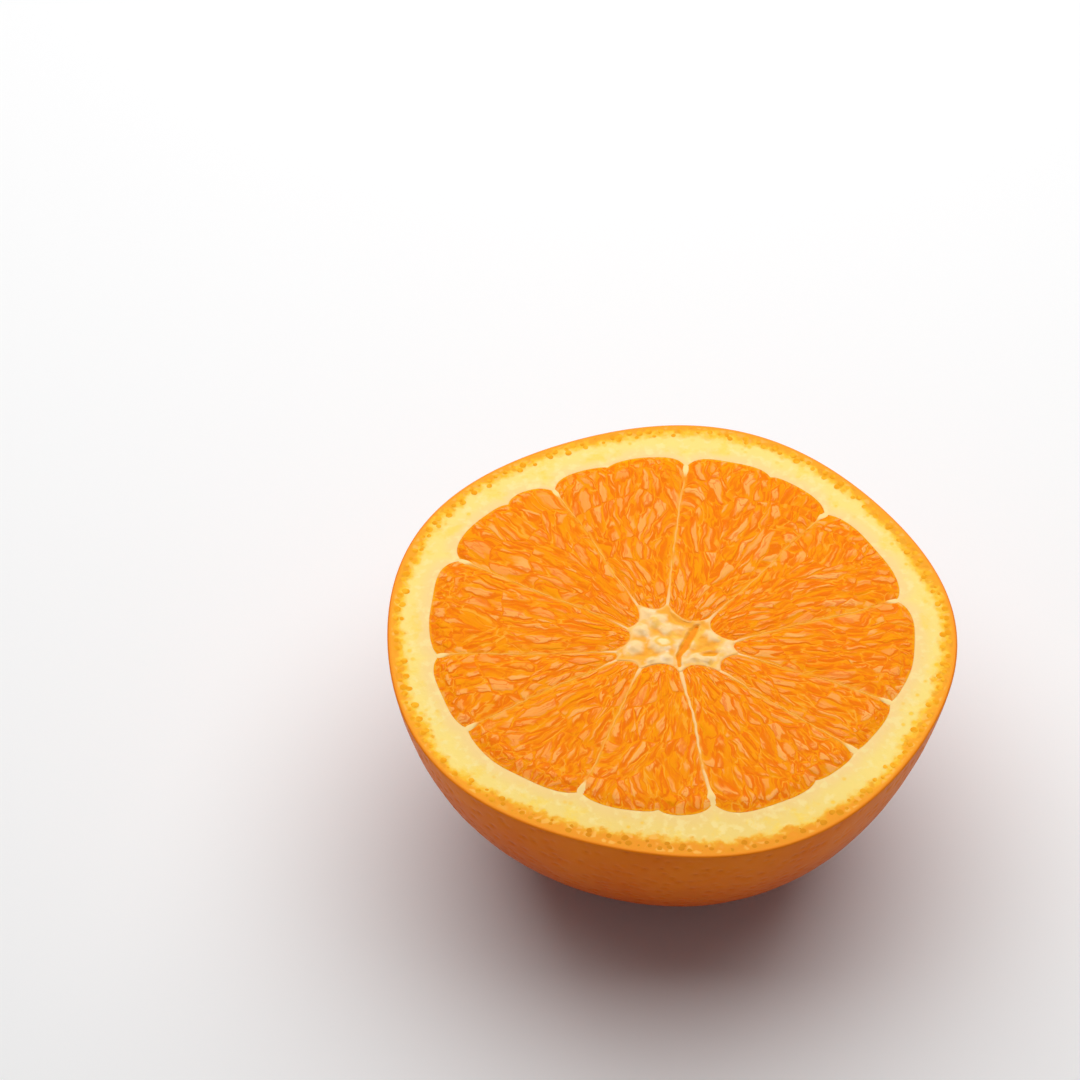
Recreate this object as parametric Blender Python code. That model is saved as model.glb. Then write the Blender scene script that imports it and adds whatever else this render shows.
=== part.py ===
# Half of a round orange, cut across its segments and resting on its peel.
# The cut face is level and up. Metres, +Z up, origin under the middle at the resting spot.

import math

import bmesh
import bpy
from mathutils import Vector

# Outer form
FACE_RADIUS = 0.038
DEPTH = 0.0355
SHOULDER_ANGLE = math.radians(79.0)
FULLNESS = 2.15
FOOT_RADIUS = 0.0045

# Slow waves that make the cut outline uneven: number round the fruit, share of the radius, direction
OUTLINE_WAVES = (
    (2, 0.0052, math.radians(-87.0)),
    (3, 0.0050, math.radians(-140.0)),
    (5, 0.0135, math.radians(15.5)),
)
UNEVENNESS_FADE = 3.0

# Walls between the segments, by where each one meets the pith, and the point that they run to
WALL_ANGLES = tuple(
    math.radians(angle)
    for angle in (10.5, 44.6, 84.6, 120.8, 155.3, 187.5, 211.8, 246.1, 279.8, 319.4, 337.1)
)
CORE_CENTRE = Vector((0.0012, -0.0016))

# Flesh: its edge as a share of the way out to the peel, and how it stands up between the walls
FLESH_EDGE = 0.842
WALL_DIP = 0.045
WALL_DIP_WIDTH = 0.0022
MOUND_HEIGHT = 0.0006
MOUND_SLOPE = 0.0022
SAC_RIPPLE = 0.00016
SAC_SPACING = 0.0047

# Spongy core: round body, arms along the walls, lumps and the split through it
CORE_RADIUS = 0.0046
CORE_ARM = 0.0034
CORE_ARM_WIDTH = 0.0013
CORE_BLEND = 0.0010
CORE_LUMP = 0.00045
CORE_LUMP_SPACING = 0.0036
CORE_SINK = 0.0003
SPLIT_START = Vector((0.0029, 0.0014))
SPLIT_END = Vector((0.0009, -0.0058))
SPLIT_HALF_WIDTH = 0.0007
SPLIT_DEPTH = 0.0028

# Rind: the coloured skin outside the pith, the worn edge of the cut and the pith's shallow hollow
SKIN_THICKNESS = 0.0016
EDGE_WIDTH = 0.0005
EDGE_DROP = 0.0003
PITH_HOLLOW = 0.0002

# Mesh steps
COLUMNS_PER_SEGMENT = 10
COLUMN_CROWDING = 0.55
FLESH_RINGS = (
    0.03, 0.06, 0.09, 0.12, 0.15, 0.185, 0.22, 0.26, 0.31,
    0.37, 0.44, 0.52, 0.60, 0.68, 0.76, 0.84, 0.91, 0.96, 1.0,
)
DOME_ROWS = 14


def clear_scene():
    for thing in list(bpy.data.objects):
        bpy.data.objects.remove(thing, do_unlink=True)


def smooth_step(low, high, value):
    share = min(max((value - low) / (high - low), 0.0), 1.0)
    return share * share * (3.0 - 2.0 * share)


def mix(start, end, share):
    return start + (end - start) * share


def outline_share(angle):
    return 1.0 + sum(size * math.cos(count * angle - turn) for count, size, turn in OUTLINE_WAVES)


def rim_point(angle):
    reach = FACE_RADIUS * outline_share(angle)
    return Vector((reach * math.cos(angle), reach * math.sin(angle)))


def segment_columns():
    """Rim angle of each column, with its distance in radians to the nearest wall."""
    columns = []
    for index, start in enumerate(WALL_ANGLES):
        end = WALL_ANGLES[(index + 1) % len(WALL_ANGLES)]
        gap = (end - start) % math.tau
        for step in range(COLUMNS_PER_SEGMENT):
            even = step / COLUMNS_PER_SEGMENT
            crowded = 0.5 - 0.5 * math.cos(math.pi * even)
            share = mix(even, crowded, COLUMN_CROWDING)
            columns.append((start + gap * share, gap * min(share, 1.0 - share)))
    return columns


def flesh_edge(wall_gap):
    wall_distance = wall_gap * FACE_RADIUS * FLESH_EDGE
    return FLESH_EDGE - WALL_DIP * math.exp(-((wall_distance / WALL_DIP_WIDTH) ** 2))


def lumps(point, spacing):
    turn = math.tau / spacing
    return math.sin(turn * point.x + 1.3) * math.sin(turn * 1.17 * point.y + 0.4)


def split_share(point):
    """1 in the middle of the core's split, falling to 0 at its lips and its two ends."""
    run = SPLIT_END - SPLIT_START
    along = (point - SPLIT_START).dot(run) / run.length_squared
    nearest = SPLIT_START + run * min(max(along, 0.0), 1.0)
    away = (point - nearest).length / SPLIT_HALF_WIDTH
    return math.exp(-(away ** 2))


def face_height(point, wall_gap, edge_distance):
    """Height over the level of the pith at a point inside the flesh's edge."""
    from_core = (point - CORE_CENTRE).length
    wall_distance = from_core * wall_gap
    mound = smooth_step(0.0, MOUND_SLOPE, wall_distance) * smooth_step(0.0, MOUND_SLOPE, edge_distance)
    flesh = mound * (MOUND_HEIGHT + SAC_RIPPLE * lumps(point, SAC_SPACING))
    core_reach = CORE_RADIUS + CORE_ARM * math.exp(-((wall_distance / CORE_ARM_WIDTH) ** 2))
    core = CORE_LUMP * lumps(point, CORE_LUMP_SPACING) - CORE_SINK
    in_flesh = smooth_step(core_reach - CORE_BLEND, core_reach + CORE_BLEND, from_core)
    return mix(core, flesh, in_flesh) - SPLIT_DEPTH * split_share(point)


def face_column(angle, wall_gap):
    """Points of one column from the core out to the worn edge of the peel."""
    rim = rim_point(angle)
    length = (rim - CORE_CENTRE).length
    edge = flesh_edge(wall_gap)
    points = []
    for share in FLESH_RINGS:
        flat = CORE_CENTRE.lerp(rim, edge * share)
        height = face_height(flat, wall_gap, length * edge * (1.0 - share))
        points.append(flat.to_3d() + Vector((0.0, 0.0, DEPTH + height)))
    skin_start = 1.0 - SKIN_THICKNESS / length
    rind_rings = (
        (mix(edge, skin_start, 0.15), -0.5 * PITH_HOLLOW),
        (mix(edge, skin_start, 0.55), -PITH_HOLLOW),
        (skin_start, 0.0),
        (1.0 - EDGE_WIDTH / length, 0.0),
        (1.0, -EDGE_DROP),
    )
    for share, height in rind_rings:
        flat = CORE_CENTRE.lerp(rim, share)
        points.append(flat.to_3d() + Vector((0.0, 0.0, DEPTH + height)))
    return points


def dome_column(angle):
    """Points of one column under the edge of the peel, down to the rim of the resting spot."""
    power = 2.0 / FULLNESS
    foot_reach = FOOT_RADIUS / FACE_RADIUS
    foot_angle = math.asin(foot_reach ** (1.0 / power) * math.sin(SHOULDER_ANGLE))
    foot_level = math.cos(foot_angle) ** power
    drop = foot_level - math.cos(SHOULDER_ANGLE) ** power
    points = []
    for row in range(1, DOME_ROWS + 1):
        turn = mix(SHOULDER_ANGLE, foot_angle, row / DOME_ROWS)
        reach = (math.sin(turn) / math.sin(SHOULDER_ANGLE)) ** power
        unevenness = (outline_share(angle) - 1.0) * reach ** UNEVENNESS_FADE
        radius = FACE_RADIUS * reach * (1.0 + unevenness)
        height = (DEPTH - EDGE_DROP) * (foot_level - math.cos(turn) ** power) / drop
        points.append(Vector((radius * math.cos(angle), radius * math.sin(angle), height)))
    return points


def skin(name, color, roughness):
    material = bpy.data.materials.new(name)
    material.use_nodes = True
    shader = material.node_tree.nodes["Principled BSDF"]
    shader.inputs["Base Color"].default_value = (*color, 1.0)
    shader.inputs["Roughness"].default_value = roughness
    shader.inputs["Metallic"].default_value = 0.0
    return material


def build_orange_half():
    shape = bmesh.new()
    columns = [
        [shape.verts.new(point) for point in face_column(angle, gap) + dome_column(angle)]
        for angle, gap in segment_columns()
    ]
    middle_height = DEPTH + face_height(CORE_CENTRE, 0.0, FACE_RADIUS)
    core_top = shape.verts.new((CORE_CENTRE.x, CORE_CENTRE.y, middle_height))
    foot_middle = shape.verts.new((0.0, 0.0, 0.0))

    flesh_rows = len(FLESH_RINGS)
    pith_rows = flesh_rows + 2
    for left, right in zip(columns, columns[1:] + columns[:1]):
        shape.faces.new((core_top, left[0], right[0])).material_index = 2
        for row in range(len(left) - 1):
            face = shape.faces.new((left[row], left[row + 1], right[row + 1], right[row]))
            face.material_index = 2 if row < flesh_rows - 1 else 1 if row < pith_rows else 0
        shape.faces.new((foot_middle, right[-1], left[-1]))

    xs = [vertex.co.x for vertex in shape.verts]
    ys = [vertex.co.y for vertex in shape.verts]
    middle = Vector(((min(xs) + max(xs)) / 2.0, (min(ys) + max(ys)) / 2.0, 0.0))
    bmesh.ops.translate(shape, verts=shape.verts, vec=-middle)
    bmesh.ops.recalc_face_normals(shape, faces=shape.faces)

    mesh = bpy.data.meshes.new("orange_half")
    shape.to_mesh(mesh)
    shape.free()
    mesh.materials.append(skin("peel", (0.90, 0.34, 0.03), 0.42))
    mesh.materials.append(skin("pith", (0.93, 0.80, 0.45), 0.65))
    mesh.materials.append(skin("flesh", (0.95, 0.38, 0.04), 0.30))
    mesh.shade_smooth()
    mesh.set_sharp_from_angle(angle=math.radians(50.0))
    orange = bpy.data.objects.new("orange_half", mesh)
    bpy.context.scene.collection.objects.link(orange)
    return orange


clear_scene()
build_orange_half()
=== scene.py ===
import math

import bmesh
import bpy
import numpy as np
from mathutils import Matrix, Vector


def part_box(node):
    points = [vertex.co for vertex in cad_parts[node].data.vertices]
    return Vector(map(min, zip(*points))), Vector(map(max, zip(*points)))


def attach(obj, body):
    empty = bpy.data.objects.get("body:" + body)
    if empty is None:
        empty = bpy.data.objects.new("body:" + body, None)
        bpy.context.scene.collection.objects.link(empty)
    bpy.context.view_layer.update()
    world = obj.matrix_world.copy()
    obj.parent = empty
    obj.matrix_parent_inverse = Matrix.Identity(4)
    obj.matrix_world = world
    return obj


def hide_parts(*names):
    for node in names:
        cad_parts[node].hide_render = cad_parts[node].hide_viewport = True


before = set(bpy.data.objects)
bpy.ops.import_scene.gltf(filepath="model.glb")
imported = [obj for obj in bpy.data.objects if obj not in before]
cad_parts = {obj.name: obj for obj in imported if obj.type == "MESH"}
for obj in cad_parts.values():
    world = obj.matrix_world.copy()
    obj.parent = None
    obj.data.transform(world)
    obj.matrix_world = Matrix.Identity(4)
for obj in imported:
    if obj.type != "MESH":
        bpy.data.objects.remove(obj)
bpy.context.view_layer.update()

mm = 0.001
cadNode = "orange_half"
cadLow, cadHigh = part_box(cadNode)

# The fruit as a whole. Waves: how many round the fruit, share of the radius, direction in degrees.
fruit = {
    "outlineWaves": ((2, 0.0052, -87.0), (3, 0.0050, -140.0), (5, 0.0135, 15.5)),
    "shoulderAngle": 79.0,
    "fullness": 2.15,
    "unevennessFade": 3.0,
    "footRadius": 4.5 * mm,
    "cadRelief": 0.76 * mm,  # how far the solid's flesh stands over its pith
    "coreMiddle": (1.2 * mm, -1.6 * mm),
    "edgeDrop": 0.3 * mm,
    "bedDrop": 1.8 * mm,  # the level inside the peel that flesh, walls and core stand on
    "frontShadeStart": -22.0 * mm,  # painted shade: the rind and its glands are deeper in tone from here to the front of the cut
    "frontShadeEnd": -36.0 * mm,
}

# One row for each wall: where it meets the pith (degrees, share of the way out),
# then where it leaves the core (degrees, reach in mm from the core's middle), and how pale it is.
walls = (
    (10.5, 0.824, -1.6, 7.2, 0.25),
    (44.6, 0.824, 42.0, 5.5, 0.40),
    (84.6, 0.796, 102.9, 6.4, 0.60),
    (120.8, 0.800, 130.7, 8.2, 0.30),
    (155.3, 0.806, 162.4, 6.9, 0.35),
    (187.5, 0.829, 192.8, 8.5, 0.20),
    (211.8, 0.829, 201.8, 8.9, 0.25),
    (246.1, 0.807, 222.4, 6.9, 0.48),
    (279.8, 0.780, 271.0, 5.1, 1.00),
    (319.4, 0.829, 315.5, 7.3, 0.40),
    (337.1, 0.833, 344.5, 8.0, 0.25),
)


def operator(name, swapped=False):
    def apply(self, other):
        values = (other, self) if swapped else (self, other)
        return self.net.math(name, *values)

    return apply


# A socket that can be used in sums like a number
class Wire:
    def __init__(self, net, socket):
        self.net = net
        self.socket = socket

    __add__ = operator("ADD")
    __radd__ = operator("ADD", True)
    __sub__ = operator("SUBTRACT")
    __rsub__ = operator("SUBTRACT", True)
    __mul__ = operator("MULTIPLY")
    __rmul__ = operator("MULTIPLY", True)
    __truediv__ = operator("DIVIDE")
    __rtruediv__ = operator("DIVIDE", True)
    __gt__ = operator("GREATER_THAN")


# A node tree under construction, for a material or for Geometry Nodes
class Net:
    def __init__(self, tree):
        self.tree = tree

    def feed(self, socket, value):
        if isinstance(value, Wire):
            self.tree.links.new(value.socket, socket)
        else:
            socket.default_value = value

    def add(self, kind, settings=None, sockets=None):
        made = self.tree.nodes.new(kind)
        for name, value in (settings or {}).items():
            setattr(made, name, value)
        for name, value in (sockets or {}).items():
            self.feed(made.inputs[name], value)
        return made

    def wire(self, kind, output=0, settings=None, sockets=None):
        return Wire(self, self.add(kind, settings, sockets).outputs[output])

    def math(self, operation, *values):
        return self.wire("ShaderNodeMath", 0, {"operation": operation}, dict(enumerate(values)))

    def vectorMath(self, operation, *values):
        return self.wire("ShaderNodeVectorMath", 0, {"operation": operation}, dict(enumerate(values)))

    def scaled(self, vector, factor):
        return self.wire("ShaderNodeVectorMath", 0, {"operation": "SCALE"}, {0: vector, "Scale": factor})

    def smooth(self, value, low, high, start=0.0, end=1.0):
        sockets = {"Value": value, "From Min": low, "From Max": high, "To Min": start, "To Max": end}
        return self.wire("ShaderNodeMapRange", 0, {"interpolation_type": "SMOOTHSTEP"}, sockets)

    def mixColor(self, share, first, second):
        return self.wire("ShaderNodeMix", 2, {"data_type": "RGBA"}, {0: share, 6: first, 7: second})

    def layered(self, color, *layers):
        # paints over a colour; each layer has its share, then red, green and blue
        for share, *over in layers:
            color = self.mixColor(share, color, paint(*over))
        return color

    def mixNumber(self, share, first, second):
        return self.wire("ShaderNodeMix", 0, {"data_type": "FLOAT"}, {0: share, 2: first, 3: second})

    def split(self, vector):
        node = self.add("ShaderNodeSeparateXYZ", None, {0: vector})
        return [Wire(self, output) for output in node.outputs]

    def join(self, x, y, z):
        return self.wire("ShaderNodeCombineXYZ", 0, None, {0: x, 1: y, 2: z})

    def noise(self, at, scale, detail=2.0, roughness=0.5, output=0):
        sockets = {"Vector": at, "Scale": scale, "Detail": detail, "Roughness": roughness}
        return self.wire("ShaderNodeTexNoise", output, {"noise_dimensions": "3D"}, sockets)

    def swirl(self, at, scale, detail, roughness):
        # noise in three directions, each from -0.5 to 0.5
        push = self.noise(at, scale, detail, roughness, output=1)
        return self.vectorMath("SUBTRACT", push, (0.5, 0.5, 0.5))

    def voronoi(self, at, scale, output="Distance", feature="F1", randomness=1.0):
        sockets = {"Vector": at, "Scale": scale, "Randomness": randomness}
        return self.wire("ShaderNodeTexVoronoi", output, {"feature": feature}, sockets)

    def bump(self, strength, distance, height):
        sockets = {"Strength": strength, "Distance": distance, "Height": height}
        return self.wire("ShaderNodeBump", 0, None, sockets)


def paint(red, green, blue):
    # a colour as a photo editor shows it, turned into the numbers that a shader wants
    def toLinear(value):
        share = value / 255.0
        return share / 12.92 if share <= 0.04045 else ((share + 0.055) / 1.055) ** 2.4

    return (toLinear(red), toLinear(green), toLinear(blue), 1.0)


def newMaterial(name, **constants):
    material = bpy.data.materials.new(name)
    material.use_nodes = True
    net = Net(material.node_tree)
    dress(net, **constants)
    return material, net


def dress(net, **sockets):
    # sets sockets of the shader, by their names with an underscore for each space
    shader = net.tree.nodes["Principled BSDF"]
    for label, value in sockets.items():
        net.feed(shader.inputs[label.replace("_", " ")], value)


def attribute(net, name):
    return net.wire("ShaderNodeAttribute", "Vector", {"attribute_name": name})


def objectPlace(net):
    return net.wire("ShaderNodeTexCoord", "Object")


def frontShadeShare(net, at):
    # share of painted shade: 1 at the front of the cut, 0 over the rest of it
    return net.smooth(net.split(at)[1], fruit["frontShadeStart"], fruit["frontShadeEnd"])


# Shape helpers that work on whole arrays

def rise(value, low, high):
    share = np.clip((value - low) / (high - low), 0.0, 1.0)
    return share * share * (3.0 - 2.0 * share)


def mix(start, end, share):
    return start + (end - start) * share


def polar(angle, reach):
    return np.stack([reach * np.cos(angle), reach * np.sin(angle)], axis=-1)


def outlineShare(angle):
    waves = [
        size * np.cos(count * angle - math.radians(turn))
        for count, size, turn in fruit["outlineWaves"]
    ]
    return 1.0 + sum(waves)


roundAngles = np.linspace(0.0, math.tau, 2880, endpoint=False)
unitOutline = polar(roundAngles, outlineShare(roundAngles))
unitLow, unitHigh = unitOutline.min(axis=0), unitOutline.max(axis=0)
faceRadius = (cadHigh.x - cadLow.x) / (unitHigh[0] - unitLow[0])
outlineShift = -faceRadius * (unitHigh + unitLow) / 2.0  # the solid is centred on its box
pithLevel = cadHigh.z - fruit["cadRelief"]
coreMiddle = np.array(fruit["coreMiddle"])


def newObject(name, data):
    thing = bpy.data.objects.new(name, data)
    bpy.context.scene.collection.objects.link(thing)
    return thing


def makeObject(name, points, faces, attributes=None):
    # points are in the fruit's own frame, heights over the pith's level
    placed = np.array(points, dtype=float)
    placed[:, :2] += outlineShift
    placed[:, 2] += pithLevel
    mesh = bpy.data.meshes.new(name)
    mesh.from_pydata(placed.tolist(), [], faces)
    for label, values in (attributes or {}).items():
        layer = mesh.attributes.new(label, "FLOAT_VECTOR", "POINT")
        layer.data.foreach_set("vector", np.asarray(values, dtype=np.float32).ravel())
    return newObject(name, mesh)


def gridFaces(rows, columns, first=0, wrap=False):
    # quads between the points of a grid that is stored row by row
    index = first + np.arange(rows * columns).reshape(rows, columns)
    if wrap:
        index = np.concatenate([index, index[:, :1]], axis=1)
    corners = (index[:-1, :-1], index[:-1, 1:], index[1:, 1:], index[1:, :-1])
    return np.stack([corner.ravel() for corner in corners], axis=1).tolist()


def borderLoop(index):
    # the points round the border of a grid, in order
    return np.concatenate([index[0, :-1], index[:-1, -1], index[-1, :0:-1], index[:0:-1, 0]])


def ringPairs(count):
    # each place in a closed ring with the place after it
    return [(place, (place + 1) % count) for place in range(count)]


def facesOut(thing):
    # turns every face to the outside
    shape = bmesh.new()
    shape.from_mesh(thing.data)
    bmesh.ops.recalc_face_normals(shape, faces=shape.faces)
    shape.to_mesh(thing.data)
    shape.free()
    thing.data.shade_smooth()
    return thing


# Geometry Nodes helpers

def newTree(name, sizes):
    tree = bpy.data.node_groups.new(name, "GeometryNodeTree")
    tree.interface.new_socket("Geometry", in_out="OUTPUT", socket_type="NodeSocketGeometry")
    tree.interface.new_socket("Geometry", in_out="INPUT", socket_type="NodeSocketGeometry")
    for label, value in sizes.items():
        socket = tree.interface.new_socket(label, in_out="INPUT", socket_type="NodeSocketFloat")
        socket.default_value = value
    tree.interface.new_socket("Material", in_out="INPUT", socket_type="NodeSocketMaterial")
    net = Net(tree)
    source = net.add("NodeGroupInput")
    inputs = {socket.name: Wire(net, socket) for socket in source.outputs if socket.name}
    return net, inputs


def closeTree(net, geometry, material):
    real = net.wire("GeometryNodeRealizeInstances", 0, None, {"Geometry": geometry})
    dressed = net.wire("GeometryNodeSetMaterial", 0, None, {"Geometry": real, "Material": material})
    net.add("NodeGroupOutput", None, {0: dressed})
    return net.tree


def closeMoved(net, given, offset):
    # ends a tree that only moves the points of its piece
    sockets = {"Geometry": given["Geometry"], "Offset": offset}
    moved = net.wire("GeometryNodeSetPosition", 0, None, sockets)
    return closeTree(net, moved, given["Material"])


def grow(thing, tree, material):
    # runs the tree on the object once and keeps the result as its plain mesh
    modifier = thing.modifiers.new(tree.name, "NODES")
    modifier.node_group = tree
    for item in tree.interface.items_tree:
        if item.name == "Material":
            modifier[item.identifier] = material
    graph = bpy.context.evaluated_depsgraph_get()
    shape = bpy.data.meshes.new_from_object(
        thing.evaluated_get(graph), preserve_all_data_layers=True, depsgraph=graph
    )
    thing.modifiers.clear()
    thing.data = shape
    shape.shade_smooth()


def namedVector(net, name):
    settings = {"data_type": "FLOAT_VECTOR"}
    return net.wire("GeometryNodeInputNamedAttribute", "Attribute", settings, {"Name": name})


def finishPiece(piece):
    piece.data.set_sharp_from_angle(angle=math.radians(58.0))
    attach(piece, "root")
    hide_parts(cadNode)
    print(piece.name, "has", len(piece.data.polygons), "faces")


# Edge of the flesh, as a share of the way out to the peel

flesh = {
    "edgeShare": 0.842,
    "sidewaysBulge": 0.010,
    "upwardBulge": 0.010,
    "notchWidth": 1.25 * mm,
    "notchExtra": 0.008,
    "lobes": ((63.0, 0.018), (104.8, 0.014), (133.0, 0.020), (266.1, 0.018), (306.2, 0.016)),
    "lobeWidth": 0.9 * mm,
    "wobble": 0.004,
    "halfGap": 0.03 * mm,
    "coreGap": 0.12 * mm,
    "coreGapReach": 2.2 * mm,
    "wallWander": 0.30 * mm,
    "innerBulge": 0.28,
    "step": 0.14 * mm,
    "plateau": 0.33 * mm,
    "wallRise": 0.22 * mm,
    "pithDrop": 0.03 * mm,
    "rindDrop": 0.07 * mm,  # the rind's inner edge lies a little lower than the flesh
    "wallSlope": 2.2 * mm,
    "pithSlope": 2.0 * mm,
    "coreShare": 0.6,  # how much of its height the flesh keeps beside the core
    "fan": ((0.0, 0.55), (0.5, 0.95), (1.0, 1.15)),  # how wide a segment is, from core to rim
}


def alongEdge(angle, direction):
    # metres along the edge between one direction and the given ones
    gap = np.abs((angle - direction + math.pi) % math.tau - math.pi)
    return gap * faceRadius * flesh["edgeShare"]


def plainEdge(angle):
    # the edge without its notches: wider sideways, narrower toward the front
    bulge = flesh["sidewaysBulge"] * np.cos(2 * angle) + flesh["upwardBulge"] * np.sin(angle)
    return flesh["edgeShare"] + bulge


def fleshEdge(angle):
    share = plainEdge(angle)
    dip = np.zeros_like(share)
    for direction, notchShare, *_ in walls:
        turn = math.radians(direction)
        depth = plainEdge(turn) - notchShare + flesh["notchExtra"]
        dip = np.maximum(dip, depth * np.exp(-alongEdge(angle, turn) / flesh["notchWidth"]))
    for direction, depth in flesh["lobes"]:
        away = alongEdge(angle, math.radians(direction))
        dip = np.maximum(dip, depth * np.exp(-away / flesh["lobeWidth"]))
    wobble = flesh["wobble"] * np.sin(17 * angle + 1.1) * np.sin(6 * angle + 0.3)
    return share - dip + wobble


def wallLine(number, steps):
    # points of one wall from the core's tip out to its notch, with the direction across it
    direction, _, tipDirection, tipReach, _ = walls[number % len(walls)]
    tip = coreMiddle + polar(math.radians(tipDirection), tipReach * mm)
    turn = math.radians(direction)
    notch = polar(turn, faceRadius * outlineShare(turn) * fleshEdge(np.array([turn]))[0])
    share = np.linspace(0.0, 1.0, steps)[:, None]
    run = notch - tip
    across = np.array([-run[1], run[0]]) / np.linalg.norm(run)
    seed = 2.3 * (number % len(walls)) + 0.7
    wander = np.sin(5.1 * share + seed) * 0.6 + np.sin(12.7 * share + 2.1 * seed) * 0.3
    wander = wander + np.sin(41.0 * share + 3.0 * seed) * np.sin(23.0 * share + seed) * 0.25
    fade = np.minimum(share, 1.0 - share) * 4.0
    line = tip + run * share + across * wander * np.clip(fade, 0.0, 1.0) * flesh["wallWander"]
    return line, across, np.linalg.norm(run)


def fromTable(table, share):
    return np.interp(share, [row[0] for row in table], [row[1] for row in table])


def segmentGrid(number):
    # a four-sided patch between two walls, the core and the edge of the pith
    leftLine, _, leftLength = wallLine(number, 3)
    rightLine, _, rightLength = wallLine(number + 1, 3)
    width = np.linalg.norm(rightLine[-1] - leftLine[-1])
    rows = int(max(leftLength, rightLength) / flesh["step"])
    columns = int(width / flesh["step"]) + 1
    leftLine, leftAcross, leftLength = wallLine(number, rows)
    rightLine, rightAcross, rightLength = wallLine(number + 1, rows)
    down = np.linspace(0.0, 1.0, rows)[:, None]
    over = np.linspace(0.0, 1.0, columns)[:, None]

    def gap(length):
        return flesh["halfGap"] + flesh["coreGap"] * np.exp(-down * length / flesh["coreGapReach"])

    left = leftLine + leftAcross * gap(leftLength)
    right = rightLine - rightAcross * gap(rightLength)
    inner = mix(left[0], right[0], over)
    middle = (left[0] + right[0]) / 2.0
    toCore = (coreMiddle - middle) / np.linalg.norm(coreMiddle - middle)
    chord = np.linalg.norm(right[0] - left[0])
    inner = inner + toCore * chord * flesh["innerBulge"] * 4.0 * over * (1.0 - over)
    start = math.radians(walls[number][0])
    turn = (math.radians(walls[(number + 1) % len(walls)][0]) - start) % math.tau
    angles = start + turn * over[:, 0]
    outer = polar(angles, faceRadius * outlineShare(angles) * fleshEdge(angles))
    outer = outer + (1.0 - over) * (left[-1] - outer[0]) + over * (right[-1] - outer[-1])

    s, t = down[:, None, :], over[None, :, :]
    patch = (1 - s) * inner[None] + s * outer[None] + (1 - t) * left[:, None] + t * right[:, None]
    nearCorners = (1 - t) * inner[0] + t * inner[-1]
    farCorners = (1 - t) * outer[0] + t * outer[-1]
    flat = patch - (1 - s) * nearCorners - s * farCorners

    length = (leftLength + rightLength) / 2.0
    spans = np.linalg.norm(right - left, axis=1)[:, None]
    toWall = spans * np.minimum(over, 1 - over)[:, 0][None, :]
    toPith = np.broadcast_to((1 - down) * length, toWall.shape)
    toCoreEdge = np.broadcast_to(down * length, toWall.shape)
    return flat, down[:, 0], toWall, toPith, toCoreEdge, length


def segmentFlow(number, flat, down, length):
    # millimetres along the segment and across it, with the spread of the segment taken out
    axis = flat[-1, flat.shape[1] // 2] - flat[0, flat.shape[1] // 2]
    axis = axis / np.linalg.norm(axis)
    across = np.array([-axis[1], axis[0]])
    offset = flat - flat[0, flat.shape[1] // 2]
    along = np.broadcast_to(down[:, None], offset.shape[:2])
    sideways = offset @ across / fromTable(flesh["fan"], along)
    seed = np.full(along.shape, 13.7 * number)
    return np.stack([along * length / mm, sideways / mm, seed], axis=-1)


def buildSegment(number):
    flat, down, toWall, toPith, toCoreEdge, length = segmentGrid(number)
    rows, columns = toWall.shape
    byWall = rise(toWall, 0.0, flesh["wallSlope"])
    byPith = rise(toPith, 0.0, flesh["pithSlope"])
    byCore = rise(toCoreEdge, 0.0, flesh["wallSlope"])
    height = mix(flesh["wallRise"], flesh["plateau"], byWall)
    height = mix(-flesh["pithDrop"], height, byPith * mix(flesh["coreShare"], 1.0, byCore))
    top = np.concatenate([flat, height[..., None]], axis=-1).reshape(-1, 3)
    index = np.arange(rows * columns).reshape(rows, columns)
    loop = borderLoop(index)
    skirt = top[loop].copy()
    skirt[:, 2] = -fruit["bedDrop"]
    faces = gridFaces(rows, columns)
    firstSkirt = rows * columns
    count = len(loop)
    for place, after in ringPairs(count):
        faces.append([int(loop[after]), int(loop[place]), firstSkirt + place, firstSkirt + after])
    faces.append([firstSkirt + place for place in range(count)])
    flow = segmentFlow(number, flat, down, length).reshape(-1, 3)
    edges = np.stack([toWall, toPith, toCoreEdge], axis=-1).reshape(-1, 3) / mm
    piece = makeObject(
        "juiceSegment%02d" % (number + 1),
        np.concatenate([top, skirt]),
        faces,
        {"flow": np.concatenate([flow, flow[loop]]), "edges": np.concatenate([edges, edges[loop]])},
    )
    return facesOut(piece)


# Juice sacs: long pointed cells in bundles that lean out from the middle of each segment.
# The same pattern shapes the flesh and colours it.

sacs = {
    "bend": 1.6,
    "bendScale": 0.15,
    "bundleScale": 0.19,
    "bundleLength": 0.75,
    "lean": 0.055,
    "leanSpread": 0.75,
    "lengths": (1.6, 4.6, 1.75),  # at the core, in the middle, at the rim
    "widths": (1.20, 1.40, 1.20),
    "curl": 0.50,
    "curlScale": 1.10,
    "pillow": 0.09 * mm,
    "tilt": 0.05 * mm,
    "ripple": 0.03 * mm,
}


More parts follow.
